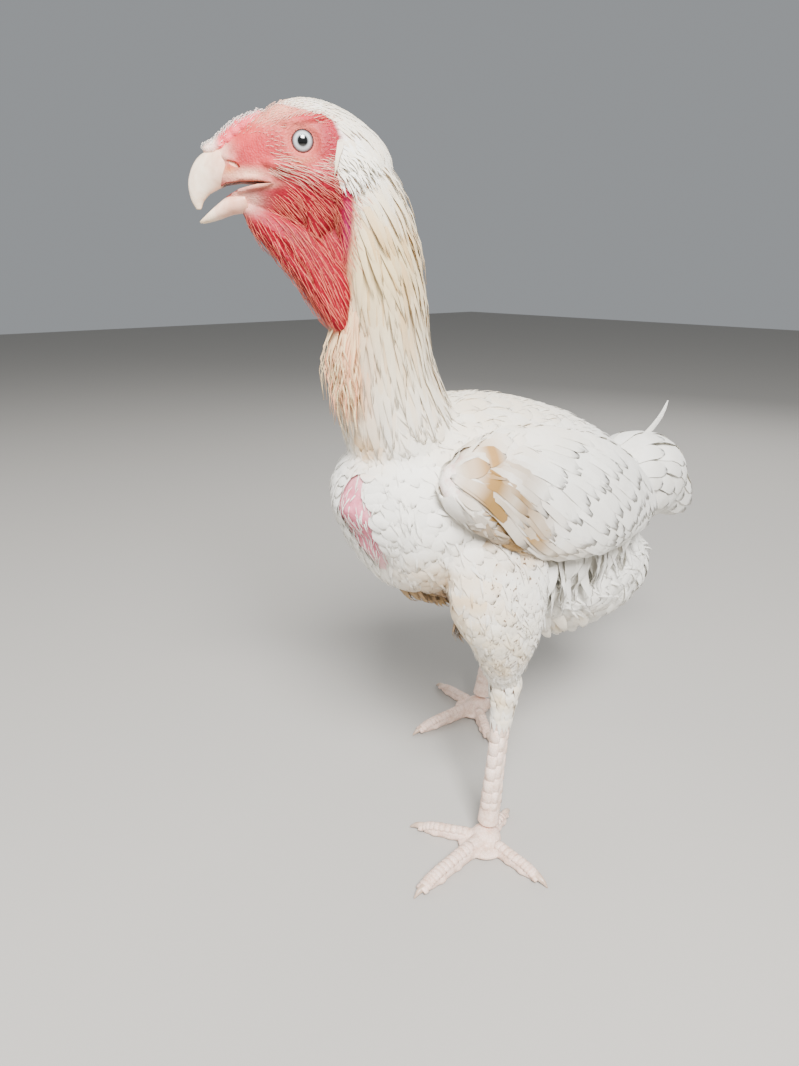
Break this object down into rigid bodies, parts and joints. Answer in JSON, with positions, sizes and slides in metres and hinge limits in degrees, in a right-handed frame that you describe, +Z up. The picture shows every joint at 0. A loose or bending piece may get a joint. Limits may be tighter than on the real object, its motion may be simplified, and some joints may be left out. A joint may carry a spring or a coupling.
{
  "type": "aseel chicken",
  "caption": "Life-size still model of a white aseel chicken standing on both feet, head turned to its right, wings folded.",
  "frame": {"origin": "centre of the bird's own box, on the floor under its soles", "axes": "+Z up from the soles to the crown, -Y the way the body faces, +X towards the bird's left side"},
  "size_m": [0.2935, 0.53, 0.5594],
  "materials": {
    "plumage": "soft white to cream feathers, matt",
    "hackle": "long narrow cream feathers, faint sheen",
    "face_skin": "bare red wrinkled skin, semi-matt",
    "comb_skin": "pink pebbled skin, semi-matt",
    "beak_horn": "pale ivory horn, satin",
    "leg_scales": "pinkish white scaled skin, semi-matt",
    "claw_horn": "pale brown horn, satin",
    "eye_pearl": "pearl iris with a black pupil, wet gloss"
  },
  "bodies": {
    "root": {"torso": "plumage", "fluff": "plumage", "neck": "hackle", "head": "face_skin", "throat": "face_skin", "comb": "comb_skin", "beak_upper": "beak_horn", "beak_lower": "beak_horn", "eye_left": "eye_pearl", "eye_right": "eye_pearl", "ear_left": "plumage", "ear_right": "plumage", "wing_left": "plumage", "wing_right": "plumage", "tail": "plumage", "thigh_left": "plumage", "thigh_right": "plumage", "shank_left": "leg_scales", "shank_right": "leg_scales", "foot_left": "leg_scales", "foot_right": "leg_scales", "claw_left_inner": "claw_horn", "claw_left_middle": "claw_horn", "claw_left_outer": "claw_horn", "claw_left_hind": "claw_horn", "claw_right_inner": "claw_horn", "claw_right_middle": "claw_horn", "claw_right_outer": "claw_horn", "claw_right_hind": "claw_horn"}
  },
  "joints": []
}
